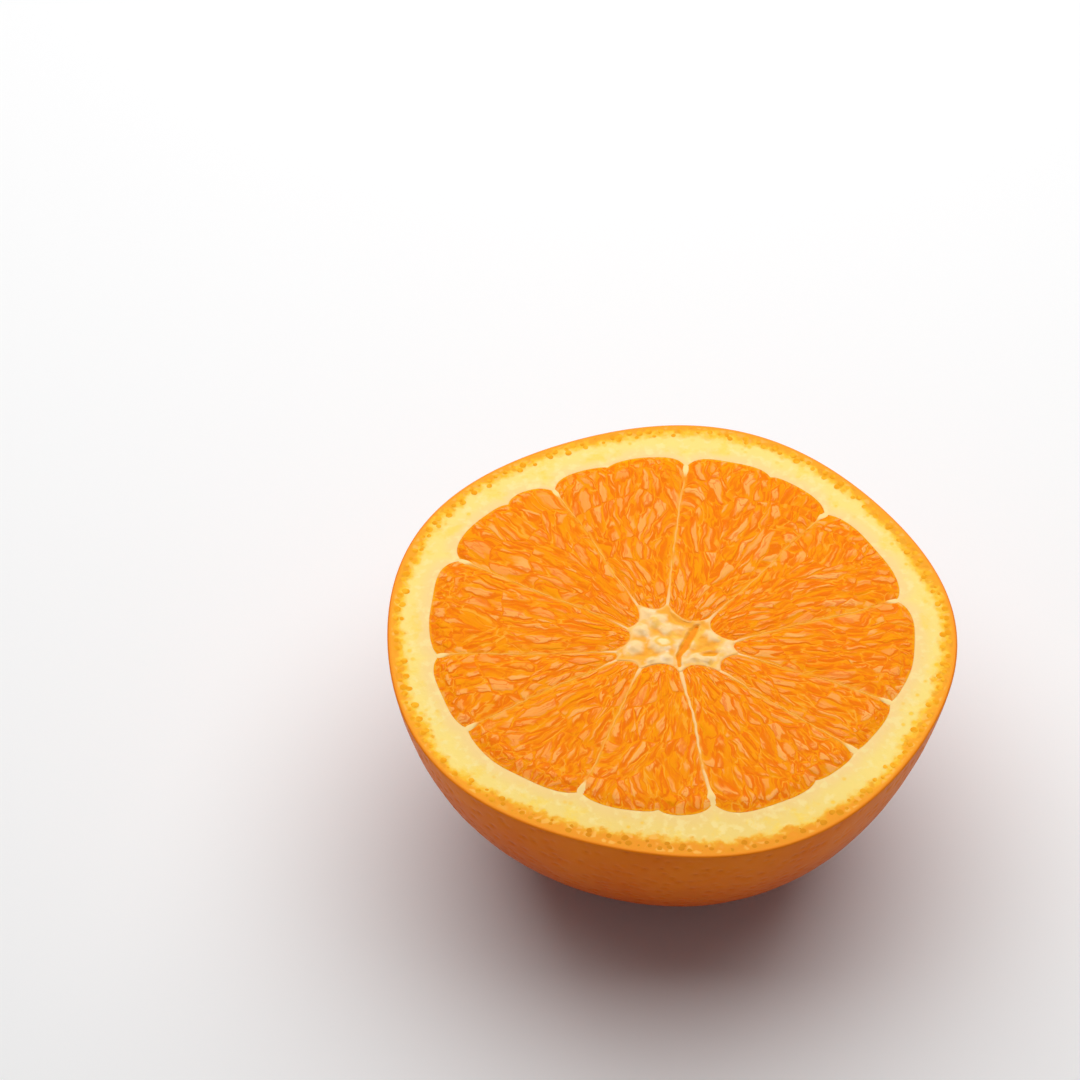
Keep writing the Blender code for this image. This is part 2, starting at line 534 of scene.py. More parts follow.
def sacPattern(net, flow, edges):
    _, pithGap, coreGap = net.split(edges)
    byCore = net.smooth(coreGap, 6.0, 0.5)
    byRim = net.smooth(pithGap, 7.0, 0.5)

    def sized(sizes):
        besideCore = net.mixNumber(byCore, sizes[1], sizes[0])
        return net.mixNumber(byRim, besideCore, sizes[2])

    length = sized(sacs["lengths"])
    width = sized(sacs["widths"])
    bend = net.swirl(flow, sacs["bendScale"], 3.0, 0.55)
    bent = net.vectorMath("MULTIPLY_ADD", bend, (2 * sacs["bend"], 2 * sacs["bend"], 0.0), flow)
    bent = net.vectorMath("MULTIPLY", bent, (sacs["bundleLength"], 1.0, 1.0))
    bundle = net.add("ShaderNodeTexVoronoi", None, {"Vector": bent, "Scale": sacs["bundleScale"]})
    bundleEdge = net.voronoi(bent, sacs["bundleScale"], "Distance", "DISTANCE_TO_EDGE")
    middle = Wire(net, bundle.outputs["Position"])
    chance = net.split(Wire(net, bundle.outputs["Color"]))
    offset = net.vectorMath("SUBTRACT", bent, middle)
    offset = net.vectorMath("MULTIPLY", offset, (1.0 / sacs["bundleLength"], 1.0, 0.0))
    lean = sacs["lean"] * net.split(middle)[1] + sacs["leanSpread"] * (chance[0] - 0.5)
    turn = {"Vector": offset, "Angle": 0.0 - lean}
    turned = net.wire("ShaderNodeVectorRotate", 0, {"rotation_type": "Z_AXIS"}, turn)
    x, y, _ = net.split(turned)
    cells = net.join(x / length + 9.0 * chance[1], y / width + 9.0 * chance[2], net.split(flow)[2])
    curl = net.swirl(cells, sacs["curlScale"], 3.0, 0.6)
    cells = net.vectorMath("MULTIPLY_ADD", curl, (2 * sacs["curl"], 2 * sacs["curl"], 0.0), cells)
    skinEdge = net.voronoi(cells, 1.0, "Distance", "DISTANCE_TO_EDGE", 0.95)
    edge = net.math("MINIMUM", skinEdge, bundleEdge * 7.0)
    sac = net.add("ShaderNodeTexVoronoi", None, {"Vector": cells, "Scale": 1.0, "Randomness": 0.95})
    away = net.vectorMath("SUBTRACT", cells, Wire(net, sac.outputs["Position"]))
    return edge, skinEdge, net.split(Wire(net, sac.outputs["Color"])), net.split(away), cells


def sacTree():
    net, given = newTree("juice sacs", {
        "Pillow": sacs["pillow"], "Tilt": sacs["tilt"], "Ripple": sacs["ripple"],
    })
    edges = namedVector(net, "edges")
    edge, _, chance, away, cells = sacPattern(net, namedVector(net, "flow"), edges)
    wallGap, pithGap, coreGap = net.split(edges)
    slope = away[0] * (chance[0] - 0.5) + away[1] * (chance[1] - 0.5)
    pillow = net.smooth(edge, 0.0, 0.34)
    ripple = net.noise(cells, 2.4, 2.0) - 0.5
    lift = given["Pillow"] * pillow + given["Tilt"] * (slope * 1.6 + (chance[2] - 0.5)) * pillow
    lift = lift + given["Ripple"] * ripple
    fade = net.smooth(wallGap, 0.0, 0.5) * net.smooth(pithGap, 0.0, 0.6) * net.smooth(coreGap, 0.0, 0.6)
    return closeMoved(net, given, net.join(0.0, 0.0, lift * fade))


def fleshMaterial():
    material, net = newMaterial(
        "juicy flesh", Roughness=0.2, IOR=1.36, Specular_IOR_Level=0.04,
        Subsurface_Weight=0.35, Subsurface_Scale=0.45 * mm, Subsurface_Radius=(1.0, 0.35, 0.08),
        Coat_Roughness=0.10, Coat_IOR=1.38,
    )
    edges = attribute(net, "edges")
    edge, skinEdge, chance, away, cells = sacPattern(net, attribute(net, "flow"), edges)
    wallGap, pithGap, coreGap = net.split(edges)
    vary = net.noise(cells, 1.1, 3.0)
    fine = net.noise(cells, 2.6, 2.0)
    worm = net.noise(cells, 1.7, 1.0)
    # from the skin between two sacs inward: bright thin line, rich orange, dark line of painted shade,
    # pale filled middle with a painted sheen
    start = 0.105 + 0.11 * chance[0] + 0.36 * (vary - 0.5)
    inside = edge - start
    fill = net.smooth(inside, -0.05, 0.08) * net.smooth(chance[1], 0.06, 0.16)
    # painted shade: a dark stroke inside each sac's edge, stronger on one side, and dark crease lines
    side = away[1] * ((chance[2] > 0.5) * 2.0 - 1.0)
    shadeStroke = net.smooth(inside, -0.21, -0.09) * net.smooth(inside, 0.07, -0.03)
    shadeStroke = shadeStroke * net.smooth(side, -0.20, 0.15, 0.15, 1.0)
    creaseShade = net.smooth(net.math("ABSOLUTE", worm - 0.5), 0.060, 0.015) * net.smooth(vary, 0.38, 0.50)
    rich = net.mixColor(fine, paint(255, 144, 0), paint(255, 164, 3))
    # pale middles: the sacs' paler colour with a painted sheen of the wet cut
    pale = net.mixColor(chance[2], paint(255, 152, 42), paint(255, 172, 76))
    thread = net.smooth(skinEdge, 0.05, 0.01) * net.smooth(vary, 0.48, 0.62)
    rim = net.smooth(pithGap, 0.40, 0.10) * net.smooth(fine, 0.40, 0.55)
    beside = net.smooth(wallGap, 0.55, 0.10) * net.smooth(fine, 0.38, 0.52)
    lining = net.smooth(coreGap, 0.42, 0.08)
    color = net.layered(
        net.mixColor(fill, rich, pale),
        (creaseShade * 0.70, 244, 119, 0),
        (shadeStroke * 0.85, 244, 117, 0),
        (thread * 0.6, 255, 178, 60),
        (rim * 0.8, 255, 168, 14),
        (beside * 0.8, 255, 166, 40),
        (lining * 0.75, 255, 196, 110),
    )
    relief = net.smooth(edge, 0.0, 0.28) + 0.4 * fine
    dress(
        net, Base_Color=color, Roughness=net.mixNumber(fill, 0.32, 0.16),
        Coat_Weight=fill * 0.40 + 0.02, Normal=net.bump(0.20, 0.08 * mm, relief),
    )
    return material


# Peel: the outer dome with its pores, closed inside by the bed

peel = {
    "halfSteps": 150,
    "poreSpacing": 1.5 * mm,
    "poreDepth": 0.085 * mm,
    "swell": 0.10 * mm,
    "swellSize": 9.0 * mm,
    "lipWidth": 6.8 * mm,
    "scarReach": 1.5 * mm,
}


def domePoint(angle, share):
    power = 2.0 / fruit["fullness"]
    shoulder = math.radians(fruit["shoulderAngle"])
    footReach = fruit["footRadius"] / faceRadius
    footTurn = math.asin(footReach ** (1.0 / power) * math.sin(shoulder))
    footLevel = math.cos(footTurn) ** power
    drop = footLevel - math.cos(shoulder) ** power
    turn = share * shoulder
    reach = (np.sin(turn) / math.sin(shoulder)) ** power
    uneven = 1.0 + (outlineShare(angle) - 1.0) * reach ** fruit["unevennessFade"]
    depth = pithLevel - cadLow.z - fruit["edgeDrop"]
    climb = np.maximum((footLevel - np.cos(turn) ** power) / drop, 0.0)
    flat = polar(angle, faceRadius * reach * uneven)
    return np.concatenate([flat, (depth * climb - depth - fruit["edgeDrop"])[..., None]], axis=-1)


def buildPeel():
    half = peel["halfSteps"]
    size = 2 * half + 1
    line = np.linspace(-1.0, 1.0, size)
    a, b = np.meshgrid(line, line, indexing="ij")
    # a square sheet drawn into a round one, so that its meshes stay even all over the dome
    wide = np.abs(a) >= np.abs(b)
    safeA = np.where(a == 0, 1.0, a)
    safeB = np.where(b == 0, 1.0, b)
    radius = np.where(wide, a, b)
    angle = np.where(wide, math.pi / 4 * b / safeA, math.pi / 2 - math.pi / 4 * a / safeB)
    angle = np.where(radius < 0, angle + math.pi, angle)
    dome = domePoint(angle, np.abs(radius)).reshape(-1, 3)
    index = np.arange(size * size).reshape(size, size)
    loop = borderLoop(index)
    rim = dome[loop]
    inward = 1.0 - peel["lipWidth"] / faceRadius
    lip = rim * [inward, inward, 1.0]
    bed = lip.copy()
    bed[:, 2] = -fruit["bedDrop"]
    faces = gridFaces(size, size)
    count = len(loop)
    rings = [loop, size * size + np.arange(count), size * size + count + np.arange(count)]
    for upper, lower in zip(rings, rings[1:]):
        for place, after in ringPairs(count):
            faces.append([int(upper[place]), int(upper[after]), int(lower[after]), int(lower[place])])
    faces.append(rings[-1].tolist())
    piece = makeObject("peel", np.concatenate([dome, lip, bed]), faces)
    return facesOut(piece)


def peelTree():
    net, given = newTree("peel pores", {
        "PoreSpacing": peel["poreSpacing"], "PoreDepth": peel["poreDepth"],
        "Swell": peel["swell"], "SwellSize": peel["swellSize"],
    })
    place = net.wire("GeometryNodeInputPosition")
    normal = net.wire("GeometryNodeInputNormal")
    height = net.split(place)[2]
    pore = net.voronoi(place, 1.0 / given["PoreSpacing"])
    pit = net.smooth(pore, 0.62, 0.06) * -1.0 * given["PoreDepth"]
    swell = (net.noise(place, 1.0 / given["SwellSize"], 2.0) - 0.5) * 2.0 * given["Swell"]
    onDome = net.smooth(height, pithLevel - 0.35 * mm, pithLevel - 1.6 * mm)
    onDome = onDome * net.smooth(height, 0.15 * mm, 0.9 * mm)
    return closeMoved(net, given, net.scaled(normal, (pit + swell) * onDome))


def peelMaterial():
    material, net = newMaterial(
        "orange peel", IOR=1.42, Specular_IOR_Level=0.08,
        Subsurface_Weight=0.12, Subsurface_Scale=1.0 * mm, Subsurface_Radius=(1.0, 0.3, 0.05),
    )
    at = objectPlace(net)
    pore = net.voronoi(at, 1.0 / peel["poreSpacing"])
    blotch = net.noise(at, 90.0, 4.0, 0.6)
    fine = net.noise(at, 1400.0, 3.0)
    across, along, height = net.split(at)
    # the small scar at the blossom end, under the fruit
    fromAxis = net.math("SQRT", across * across + along * along) + 1.2 * mm * (net.noise(at, 700.0) - 0.5)
    scar = net.smooth(fromAxis, peel["scarReach"], 0.6 * peel["scarReach"])
    scar = scar * net.smooth(height, 3.0 * mm, 1.0 * mm)
    color = net.layered(
        paint(239, 115, 0),
        (net.smooth(blotch, 0.3, 0.7), 248, 130, 2),
        # painted shade: the peel turns deeper and redder toward the underside
        (net.smooth(height, 35.0 * mm, 10.0 * mm) * 0.9, 176, 58, 0),
        (net.smooth(pore, 0.30, 0.05) * 0.35, 214, 84, 0),
        (scar * 0.8, 170, 104, 44),
    )
    relief = net.smooth(pore, 0.05, 0.55) + 0.15 * fine
    dress(net, Base_Color=color, Roughness=0.36 + 0.10 * fine, Normal=net.bump(0.6, 0.10 * mm, relief))
    return material


# Rind: the cut ring of skin and pith between the dome's edge and the flesh

rind = {
    "columns": 1440,
    "rows": 40,
    "edgeWidth": 0.50 * mm,
    "width": 5.9 * mm,
    "hollow": 0.12 * mm,
    "tuck": 0.12 * mm,
    "grain": 0.035 * mm,
    "grainSize": 0.9 * mm,
    "rowCrowding": 1.5,
    "footDepth": 0.9 * mm,
    "footShare": 0.99,
}


def buildRind():
    columns, rows = rind["columns"], rind["rows"]
    angle = np.linspace(0.0, math.tau, columns, endpoint=False)
    rimReach = faceRadius * outlineShare(angle)
    edgeReach = rimReach * fleshEdge(angle) - rind["tuck"]
    depthShare = np.linspace(0.0, 1.0, rows) ** rind["rowCrowding"]
    width = (rimReach - edgeReach)[None, :]
    depth = depthShare[:, None] * width
    reach = rimReach[None, :] - depth
    angles = np.broadcast_to(angle, reach.shape)
    # the worn edge turns down in a quarter round and meets the dome
    turn = np.clip(1.0 - depth / rind["edgeWidth"], 0.0, 1.0)
    worn = fruit["edgeDrop"] * (1.0 - np.sqrt(1.0 - turn ** 2))
    middle = np.sin(np.clip(depth / width, 0.0, 1.0) * math.pi) * rind["hollow"]
    sink = rise(width - depth, 0.5 * mm, 0.0) * flesh["rindDrop"]
    height = -worn - middle - sink
    top = np.concatenate([polar(angles, reach), height[..., None]], axis=-1)
    foot = [0.0, 0.0, -rind["footDepth"]]
    outerFoot = top[:1] * [rind["footShare"], rind["footShare"], 0.0] + foot
    innerFoot = top[-1:] * [1.0, 1.0, 0.0] + foot
    points = np.concatenate([outerFoot, top, innerFoot]).reshape(-1, 3)
    faces = gridFaces(rows + 2, columns, wrap=True)
    last = (rows + 1) * columns
    for place, after in ringPairs(columns):
        faces.append([last + place, last + after, after, place])
    arc = angles * faceRadius / mm
    info = np.stack([arc, depth / mm, (width - depth) / mm], axis=-1)
    info = np.concatenate([info[:1], info, info[-1:]]).reshape(-1, 3)
    piece = makeObject("cutRind", points, faces, {"rindMap": info})
    return facesOut(piece)


def rindTree():
    net, given = newTree("rind grain", {"Grain": rind["grain"], "GrainSize": rind["grainSize"]})
    place = net.wire("GeometryNodeInputPosition")
    depth = net.split(namedVector(net, "rindMap"))[1]
    grain = net.noise(place, 1.0 / given["GrainSize"], 3.0, 0.6) - 0.5
    lift = grain * 2.0 * given["Grain"] * net.smooth(depth, 0.05, 0.6)
    return closeMoved(net, given, net.join(0.0, 0.0, lift))


def rindMaterial():
    material, net = newMaterial(
        "skin and pith", Roughness=0.55, IOR=1.40, Specular_IOR_Level=0.2,
        Subsurface_Weight=0.3, Subsurface_Scale=0.3 * mm, Subsurface_Radius=(1.0, 0.8, 0.5),
    )
    arc, depth, toFlesh = net.split(attribute(net, "rindMap"))
    at = objectPlace(net)
    broad = net.noise(at, 110.0, 2.0)
    wander = net.noise(at, 800.0, 3.0)
    front = frontShadeShare(net, at)
    stain = net.smooth(net.noise(at, 300.0, 4.0, 0.65), 0.52, 0.68) * net.smooth(toFlesh, 0.5, 1.8)
    speck = net.smooth(net.voronoi(at, 640.0), 0.30, 0.12) * net.smooth(toFlesh, 0.8, 2.2)
    # painted shade: toward the front of the cut the orange skin band reaches deeper
    border = depth - 1.95 - 0.75 * front - 2.2 * (broad - 0.5) - 3.2 * (wander - 0.5)
    # pith with its stains and small yellow spots, then skin: yellow against the pith, orange outside;
    # painted shade deepens pith and skin toward the front of the cut
    orange = net.layered(
        paint(254, 223, 128),
        (net.smooth(toFlesh, 3.0, 0.3), 253, 214, 142),
        (front * 0.6, 242, 206, 118),
        (net.smooth(wander, 0.50, 0.66) * 0.6, 255, 230, 158),
        (stain * 0.7, 255, 214, 84),
        (speck * 0.8 * net.smooth(broad, 0.40, 0.58), 255, 200, 40),
        (net.smooth(border, 0.85, -0.45), 255, 196, 34),
        (net.smooth(border, -0.10, -1.15), 255, 166, 12),
        (front * 0.6 * net.smooth(border, 0.5, -0.4), 234, 142, 4),
    )
    # cells of oil in the skin: amber ones, and pale peach ones that are painted highlights
    oil = net.join(arc * 0.85, depth * 0.95, 0.0)
    oilEdge = net.voronoi(oil, 1.0, "Distance", "DISTANCE_TO_EDGE")
    oilChance = net.split(net.voronoi(oil, 1.0, "Color"))
    inBand = net.smooth(depth, 0.45, 0.75) * net.smooth(border, 0.35, -0.25)
    drop = net.smooth(oilEdge, 0.06, 0.26) * inBand
    amber = net.mixColor(net.smooth(oilChance[0], 0.42, 0.58), paint(240, 154, 0), paint(255, 194, 88))
    color = net.layered(
        net.mixColor(drop * 0.65 * net.smooth(oilChance[1], 0.2, 0.35), orange, amber),
        (net.smooth(depth, 0.60, 0.25), 255, 152, 14),
        (net.smooth(depth, 0.30, 0.05), 246, 130, 6),
    )
    roughness = net.mixNumber(net.smooth(border, 0.2, -0.4), 0.62, 0.34)
    grain = net.bump(0.3, 0.05 * mm, net.noise(at, 3200.0, 3.0))
    dress(net, Base_Color=color, Roughness=roughness, Normal=grain)
    return material


# Oil glands: small amber drops in the skin, cut open along the edge

glands = {
    "rows": ((1.10 * mm, 170), (1.80 * mm, 90)),  # depth under the edge, number round the fruit
    "depthSpread": 0.22 * mm,
    "sideSpread": 0.26 * mm,
    "length": 0.56 * mm,
    "width": 0.50 * mm,
    "height": 0.045 * mm,
    "sunk": 0.016 * mm,
    "smallest": 0.65,
    "largest": 1.10,
    "skipped": 0.15,
}


def buildGlands():
    rows = glands["rows"]
    angle = np.concatenate([np.linspace(0.0, math.tau, count, endpoint=False) for _, count in rows])
    depth = np.concatenate([np.full(count, deep) for deep, count in rows])
    reach = faceRadius * outlineShare(angle) - depth
    level = -rind["hollow"] * np.sin(depth / rind["width"] * math.pi) - glands["sunk"]
    points = np.concatenate([polar(angle, reach), level[:, None]], axis=-1)
    outward = np.concatenate([polar(angle, 1.0), np.zeros((len(angle), 1))], axis=-1)
    return makeObject("oilGlands", points, [], {"outward": outward})


def glandTree():
    net, given = newTree("oil glands", {
        "DepthSpread": glands["depthSpread"], "SideSpread": glands["sideSpread"],
        "Length": glands["length"], "Width": glands["width"],
        "Height": glands["height"], "Smallest": glands["smallest"], "Largest": glands["largest"],
        "Skipped": glands["skipped"],
    })
    ball = net.wire("GeometryNodeMeshIcoSphere", 0, None, {"Radius": 1.0, "Subdivisions": 2})
    stretch = net.wire("GeometryNodeTransform", 0, None, {
        "Geometry": ball, "Scale": net.join(given["Length"], given["Width"], given["Height"]),
    })
    outward = namedVector(net, "outward")

    def between(low, high, seed):
        sockets = {2: low, 3: high, "Seed": seed}
        return net.wire("FunctionNodeRandomValue", 1, {"data_type": "FLOAT"}, sockets)

    offset = net.scaled(outward, between(-1.0, 1.0, 11) * given["DepthSpread"])
    sideways = net.vectorMath("CROSS_PRODUCT", outward, (0.0, 0.0, 1.0))
    sideShift = net.scaled(sideways, between(-1.0, 1.0, 17) * given["SideSpread"])
    offset = net.vectorMath("ADD", offset, sideShift)
    skipping = {"Probability": given["Skipped"], "Seed": 5}
    skipped = net.wire("FunctionNodeRandomValue", 3, {"data_type": "BOOLEAN"}, skipping)
    thinning = {"Geometry": given["Geometry"], "Selection": skipped}
    thinned = net.wire("GeometryNodeDeleteGeometry", 0, {"domain": "POINT"}, thinning)
    moved = net.wire("GeometryNodeSetPosition", 0, None, {"Geometry": thinned, "Offset": offset})
    turned = net.wire("FunctionNodeAlignRotationToVector", 0, {"axis": "X"}, {"Vector": outward})
    size = between(given["Smallest"], given["Largest"], 3)
    placed = net.wire("GeometryNodeInstanceOnPoints", 0, None, {
        "Points": moved, "Instance": stretch, "Rotation": turned, "Scale": net.join(size, size, size),
    })
    return closeTree(net, placed, given["Material"])


def glandMaterial():
    material, net = newMaterial("gland oil", Roughness=0.5, IOR=1.40, Specular_IOR_Level=0.12)
    at = objectPlace(net)
    tint = net.smooth(net.noise(at, 1100.0, 1.0), 0.42, 0.58)
    # painted shade: the glands turn deeper in tone toward the front of the cut
    front = frontShadeShare(net, at) * 0.85
    color = net.layered(paint(246, 160, 2), (tint, 255, 180, 30), (front, 216, 132, 0))
    dress(net, Base_Color=color)
    return material


# Walls: thin skins between the segments, thicker and paler at both ends

wallSheets = {
    "steps": 170,
    "thin": 0.34,
    "coreThick": 0.48,
    "coreReach": 2.0,
    "intoCore": 1.3 * mm,
    "intoPith": 1.5 * mm,
    "notchThick": 1.45,
    "notchReach": 1.3,
    "top": 0.23,
    "paleTop": 0.09,
    "jag": 0.04,
    "coreEndTop": -0.35,  # both ends dip, into the core and under the rind
    "pithEndTop": -0.22,
    "wedgeFlatness": 0.35,
    "wedgeReach": 2.0,
    # half of the section: share of the thickness, drop under the top; None goes down to the bed
    "section": ((0.5, None), (0.5, -0.20), (0.36, -0.09), (0.18, -0.02)),
}


def buildWalls():
    points, info, faces = [], [], []
    steps = wallSheets["steps"]
    for number in range(len(walls)):
        line, across, length = wallLine(number, steps)
        inward = (coreMiddle - line[0]) / np.linalg.norm(coreMiddle - line[0])
        outward = line[-1] / np.linalg.norm(line[-1])
        ends = (line[:1] + inward * wallSheets["intoCore"], line[-1:] + outward * wallSheets["intoPith"])
        line = np.concatenate([ends[0], line, ends[1]])
        share = np.concatenate([[0.0], np.linspace(0.0, 1.0, steps), [1.0]])
        fromCore = share * length / mm
        fromNotch = (1.0 - share) * length / mm
        paleness = walls[number][-1]
        thick = wallSheets["thin"] * (0.85 + 0.5 * paleness)
        thick = thick + wallSheets["coreThick"] * np.exp(-fromCore / wallSheets["coreReach"])
        wedge = wallSheets["notchThick"] * (0.25 + 0.95 * paleness)
        thick = thick + wedge * np.exp(-fromNotch / wallSheets["notchReach"])
        jag = np.sin(31.0 * share + number) * np.sin(13.0 * share + 2.0 * number) * wallSheets["jag"]
        crest = wallSheets["top"] + wallSheets["paleTop"] * paleness
        top = (crest + jag) * rise(fromNotch, -0.3, 1.2) * mix(0.6, 1.0, rise(fromCore, 0.0, 1.5))
        flatten = mix(wallSheets["wedgeFlatness"], 1.0, rise(fromNotch, 0.0, wallSheets["wedgeReach"]))
        top[0] = wallSheets["coreEndTop"]
        top[-1] = wallSheets["pithEndTop"]
        half = wallSheets["section"]
        section = [(-side, drop) for side, drop in half] + [(0.0, 0.0)] + list(reversed(half))
        first = len(points)
        for place in range(len(line)):
            for side, drop in section:
                height = -fruit["bedDrop"] / mm if drop is None else top[place] + drop * flatten[place]
                flat = line[place] + across * side * thick[place] * mm
                points.append([flat[0], flat[1], height * mm])
                info.append([fromCore[place], fromNotch[place], paleness])
        width = len(section)
        faces += gridFaces(len(line), width, first)
        for place in range(len(line) - 1):
            low = first + place * width
            faces.append([low, low + width, low + 2 * width - 1, low + width - 1])
        faces.append([first + side for side in range(width)])
        faces.append([first + (len(line) - 1) * width + side for side in reversed(range(width))])
    piece = makeObject("segmentWalls", points, faces, {"wallMap": info})
    return facesOut(piece)


def wallMaterial():
    material, net = newMaterial("segment wall", Roughness=0.45, IOR=1.40, Specular_IOR_Level=0.15)
    fromCore, fromNotch, paleness = net.split(attribute(net, "wallMap"))
    at = objectPlace(net)
    vary = net.noise(at, 350.0, 2.0)
    tint = net.smooth(vary + 0.35 * paleness, 0.42, 0.68)
    pale = net.smooth(paleness, 0.4, 1.1) * net.smooth(vary, 0.36, 0.50)
    color = net.layered(
        paint(255, 148, 14),
        (tint, 255, 176, 70),
        (pale, 255, 208, 140),
        (net.smooth(fromCore, 4.2, -0.8), 255, 210, 148),
        (net.smooth(fromNotch - 1.5 * paleness, 1.4, 0.3), 255, 218, 142),
    )
    dress(net, Base_Color=color)
    return material


# Core: the spongy middle, star shaped, with the split through it

core = {
    "loopSteps": 22,
    "rings": 46,
    "under": 0.75 * mm,
    "dome": 0.34 * mm,
    "domeFall": 0.35,
    "edgeSink": 0.36 * mm,
    "edgeStart": 0.90,
    "lump": 1.00 * mm,
    "lumpSize": 2.5 * mm,
    "lumpSoftness": 0.30,
    "crumb": 0.05 * mm,
    "crumbSize": 0.6 * mm,
    "splitLine": (
        (3.7 * mm, 1.0 * mm),
        (3.2 * mm, 0.2 * mm),
        (1.9 * mm, -2.8 * mm),
        (1.1 * mm, -4.3 * mm),
        (1.2 * mm, -6.0 * mm),
    ),
    "splitWidth": (0.30 * mm, 0.58 * mm, 0.62 * mm, 0.34 * mm, 0.22 * mm),
    "splitDepth": 0.42 * mm,
    "pocket": (5.3 * mm, -3.9 * mm),
    "pocketSize": (1.05 * mm, 0.50 * mm),
    "pocketTurn": 12.0,
    "pocketDepth": 0.45 * mm,
    "knob": (-0.8 * mm, -1.9 * mm),
    "knobSize": (1.15 * mm, 0.85 * mm),
    "knobHeight": 0.15 * mm,
}


def spotShare(flat, middle, size, turn):
    # 1 in the middle of an oval spot, 0 outside it
    offset = flat - np.array(middle)
    angle = math.radians(turn)
    along = offset @ [math.cos(angle), math.sin(angle)] / size[0]
    across = offset @ [-math.sin(angle), math.cos(angle)] / size[1]
    return rise(np.hypot(along, across), 1.5, 0.3)


def splitShare(flat):
    # 1 in the middle of the split, 0 outside its lips
    best = np.zeros(len(flat))
    stops = np.array(core["splitLine"])
    for number in range(len(stops) - 1):
        run = stops[number + 1] - stops[number]
        along = np.clip((flat - stops[number]) @ run / (run @ run), 0.0, 1.0)
        nearest = stops[number] + along[:, None] * run
        width = mix(core["splitWidth"][number], core["splitWidth"][number + 1], along)
        away = np.linalg.norm(flat - nearest, axis=1) / width
        best = np.maximum(best, rise(away, 1.4, 0.4))
    return best


def buildCore():
    loop = []
    for number in range(len(walls)):
        flat = segmentGrid(number)[0]
        inner = flat[0]
        picks = np.linspace(0, len(inner) - 1, core["loopSteps"]).astype(int)
        loop.append(inner[picks])
    loop = np.concatenate(loop)
    outward = loop - coreMiddle
    loop = loop + outward / np.linalg.norm(outward, axis=1)[:, None] * core["under"]
    share = np.linspace(0.0, 1.0, core["rings"])[1:] ** 0.9
    rings = coreMiddle + share[:, None, None] * (loop - coreMiddle)[None]
    count = len(loop)
    flat = rings.reshape(-1, 2)
    reach = np.repeat(share, count)
    split = splitShare(flat)
    pocket = spotShare(flat, core["pocket"], core["pocketSize"], core["pocketTurn"])
    knob = spotShare(flat, core["knob"], core["knobSize"], 0.0)
    height = core["dome"] * (1.0 - core["domeFall"] * reach ** 2)
    height = height - core["edgeSink"] * rise(reach, core["edgeStart"], 1.0)
    height = height - core["splitDepth"] * split - core["pocketDepth"] * pocket + core["knobHeight"] * knob
    top = np.concatenate([flat, height[:, None]], axis=1)
    foot = top[-count:].copy()
    foot[:, 2] = -fruit["bedDrop"]
    middle = np.array([[coreMiddle[0], coreMiddle[1], height[:count].mean()]])
    points = np.concatenate([top, foot, middle])
    faces = gridFaces(len(share) + 1, count, wrap=True)
    hub = len(points) - 1
    faces += [[hub, after, place] for place, after in ringPairs(count)]
    faces.append([len(top) + place for place in range(count)])
    info = np.stack([split, knob - pocket, reach], axis=1)
    info = np.concatenate([info, info[-count:], info[:count].mean(axis=0)[None]])
    piece = makeObject("spongyCore", points, faces, {"coreMap": info})
    return facesOut(piece)


def lumpPattern(net, flat):
    # rounded lumps of the sponge, from about -0.3 in the hollows between them to 0.5
    swirl = net.swirl(flat, 1.0 / core["lumpSize"], 2.0, 0.5)
    warped = net.vectorMath("ADD", flat, net.scaled(swirl, 0.9 * core["lumpSize"]))
    sockets = {"Vector": warped, "Scale": 1.0 / core["lumpSize"], "Smoothness": core["lumpSoftness"]}
    return 0.48 - net.wire("ShaderNodeTexVoronoi", "Distance", {"feature": "SMOOTH_F1"}, sockets)


def coreTree():
    net, given = newTree("core sponge", {
        "Lump": core["lump"], "Crumb": core["crumb"], "CrumbSize": core["crumbSize"],
    })
    place = net.wire("GeometryNodeInputPosition")
    flat = net.vectorMath("MULTIPLY", place, (1.0, 1.0, 0.0))
    lump = lumpPattern(net, flat)
    crumb = net.noise(flat, 1.0 / given["CrumbSize"], 2.0, 0.5) - 0.5
    top = net.smooth(net.split(place)[2], pithLevel - 1.7 * mm, pithLevel - 1.2 * mm)
    reach = net.split(namedVector(net, "coreMap"))[2]
    lump = lump * net.smooth(reach, 0.66, 0.90, 1.0, 0.15)
    lift = (lump * given["Lump"] + crumb * 2.0 * given["Crumb"]) * top
    return closeMoved(net, given, net.join(0.0, 0.0, lift))


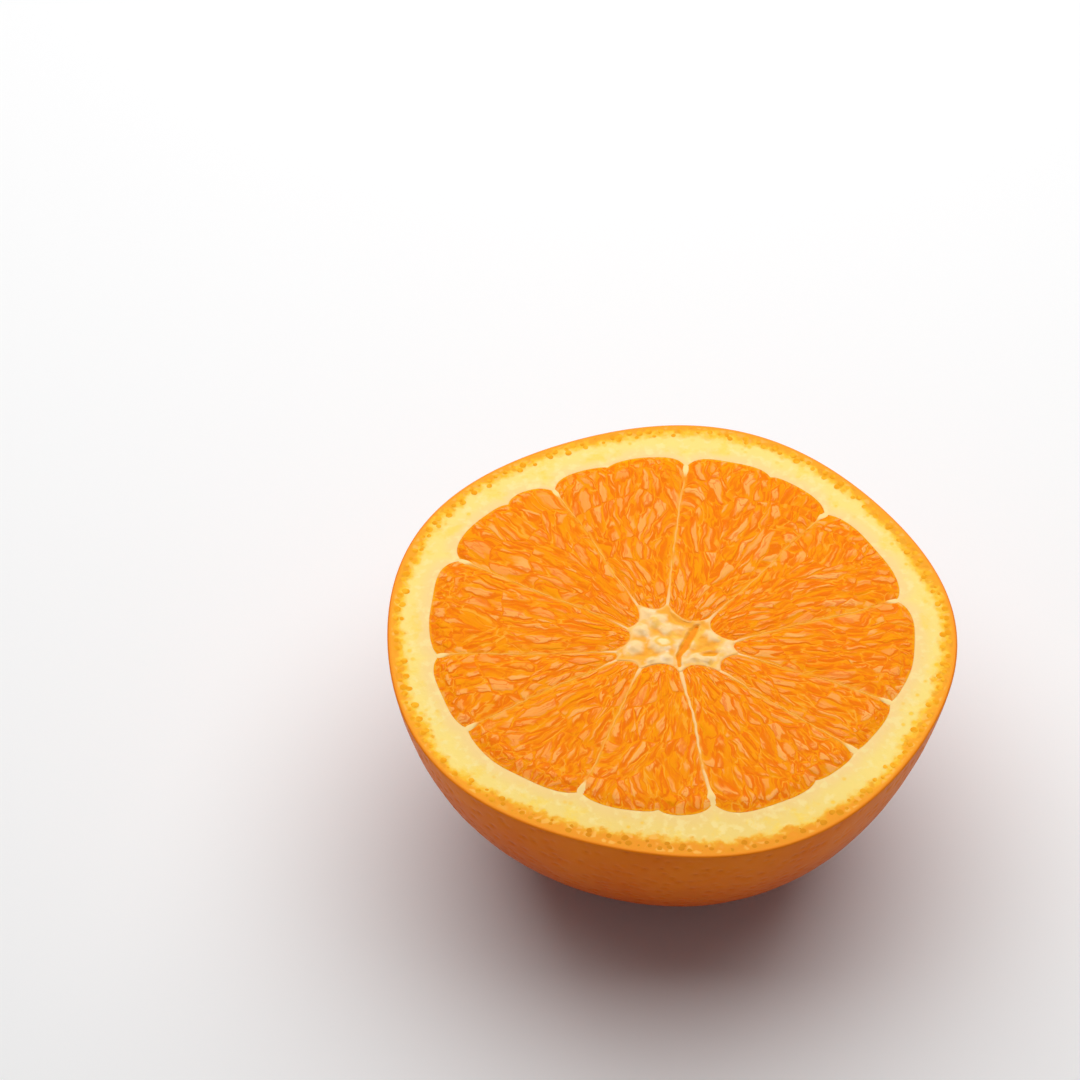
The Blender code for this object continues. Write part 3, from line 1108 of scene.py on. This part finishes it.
def coreMaterial():
    material, net = newMaterial(
        "core sponge", Roughness=0.6, IOR=1.40, Specular_IOR_Level=0.2,
        Subsurface_Weight=0.12, Subsurface_Scale=0.3 * mm, Subsurface_Radius=(1.0, 0.8, 0.5),
    )
    split, spot, reach = net.split(attribute(net, "coreMap"))
    at = objectPlace(net)
    flat = net.vectorMath("MULTIPLY", at, (1.0, 1.0, 0.0))
    lump = lumpPattern(net, flat)
    tint = net.noise(flat, 420.0, 3.0)
    ragged = net.noise(flat, 900.0, 2.0) - 0.5
    # cream on the lumps, amber in the hollows between them: the sponge's translucent tone with painted
    # shade
    color = net.layered(
        paint(255, 172, 50),
        (net.smooth(lump, -0.20, 0.10), 255, 212, 148),
        (net.smooth(tint, 0.52, 0.66) * 0.8, 255, 194, 78),
        (net.smooth(tint, 0.42, 0.30) * 0.8, 255, 224, 180),
        # painted light: a lighter, warmer edge where the core dips under the flesh, covering its shade
        (net.smooth(reach, 0.84, 0.93) * 0.7, 255, 200, 116),
        (net.smooth(spot + 0.8 * ragged, 0.05, 0.45) * 0.9, 255, 190, 72),
        (net.smooth(spot + 0.8 * ragged, 0.45, 0.95), 255, 224, 158),
        (net.smooth(0.6 * ragged - spot, 0.10, 0.7), 246, 164, 30),
        (net.smooth(split + 0.6 * ragged, 0.05, 0.55), 255, 180, 52),
        (net.smooth(split + 0.6 * ragged, 0.60, 1.0), 248, 146, 12),
    )
    dress(net, Base_Color=color, Normal=net.bump(0.25, 0.08 * mm, net.noise(at, 2200.0, 3.0)))
    return material


def buildOrange():
    fleshLook = fleshMaterial()
    tree = sacTree()
    for number in range(len(walls)):
        segment = buildSegment(number)
        grow(segment, tree, fleshLook)
        finishPiece(segment)
    shell = buildPeel()
    grow(shell, peelTree(), peelMaterial())
    finishPiece(shell)
    ring = buildRind()
    grow(ring, rindTree(), rindMaterial())
    finishPiece(ring)
    drops = buildGlands()
    grow(drops, glandTree(), glandMaterial())
    finishPiece(drops)
    skins = buildWalls()
    skins.data.materials.append(wallMaterial())
    finishPiece(skins)
    sponge = buildCore()
    grow(sponge, coreTree(), coreMaterial())
    finishPiece(sponge)


# Floor, light and camera

studio = {
    "floorSize": 3.0,
    "floorColor": (0.92, 0.92, 0.92, 1.0),
    "softboxSize": 0.70,
    "softboxPower": 3.15,
    "softboxElevation": 67.0,
    "softboxDistance": 0.44,
    "skyColor": (0.98, 0.99, 1.0, 1.0),
    "skyStrength": 0.14,
}

camera = {
    "lens": 150.0,
    "sensor": 36.0,
    "pitch": 48.0,
    "distance": 0.600,
    "imageSide": 1080.0,
    "faceMiddle": (669.5, 632.6),  # where the middle of the cut face stands in the picture
}


def buildStudio():
    half = studio["floorSize"] / 2.0
    mesh = bpy.data.meshes.new("floor")
    corners = [(-half, -half, 0), (half, -half, 0), (half, half, 0), (-half, half, 0)]
    mesh.from_pydata(corners, [], [(0, 1, 2, 3)])
    floor = newObject("floor", mesh)
    floor.location.z = cadLow.z
    material, _ = newMaterial("studio floor", Roughness=0.9, Base_Color=studio["floorColor"])
    mesh.materials.append(material)

    lamp = bpy.data.lights.new("softbox", "AREA")
    lamp.shape = "SQUARE"
    lamp.size = studio["softboxSize"]
    lamp.energy = studio["softboxPower"]
    box = newObject("softbox", lamp)
    climb = math.radians(studio["softboxElevation"])
    back = Vector((0.0, math.cos(climb), math.sin(climb)))
    box.location = back * studio["softboxDistance"]
    box.rotation_mode = "QUATERNION"
    box.rotation_quaternion = back.to_track_quat("Z", "Y")

    world = bpy.data.worlds.new("sky")
    world.use_nodes = True
    sky = world.node_tree.nodes["Background"]
    sky.inputs["Color"].default_value = studio["skyColor"]
    sky.inputs["Strength"].default_value = studio["skyStrength"]
    bpy.context.scene.world = world
    bpy.context.scene.view_settings.view_transform = "Standard"
    bpy.context.scene.view_settings.look = "None"


def buildCamera():
    data = bpy.data.cameras.new("camera")
    data.lens = camera["lens"]
    data.sensor_width = camera["sensor"]
    data.clip_start = 0.01
    eye = newObject("camera", data)
    pitch = math.radians(camera["pitch"])
    ahead = Vector((0.0, math.cos(pitch), -math.sin(pitch)))
    upward = Vector((0.0, math.sin(pitch), math.cos(pitch)))
    sideways = Vector((1.0, 0.0, 0.0))
    pixels = camera["lens"] / camera["sensor"] * camera["imageSide"]
    right = (camera["faceMiddle"][0] - camera["imageSide"] / 2.0) / pixels
    below = (camera["faceMiddle"][1] - camera["imageSide"] / 2.0) / pixels
    target = Vector((outlineShift[0], outlineShift[1], pithLevel))
    eye.location = target - (ahead + sideways * right - upward * below) * camera["distance"]
    eye.rotation_mode = "QUATERNION"
    eye.rotation_quaternion = ahead.to_track_quat("-Z", "Y")
    bpy.context.scene.camera = eye


buildOrange()
print("the orange is built")
buildStudio()
buildCamera()
print("the studio is set")
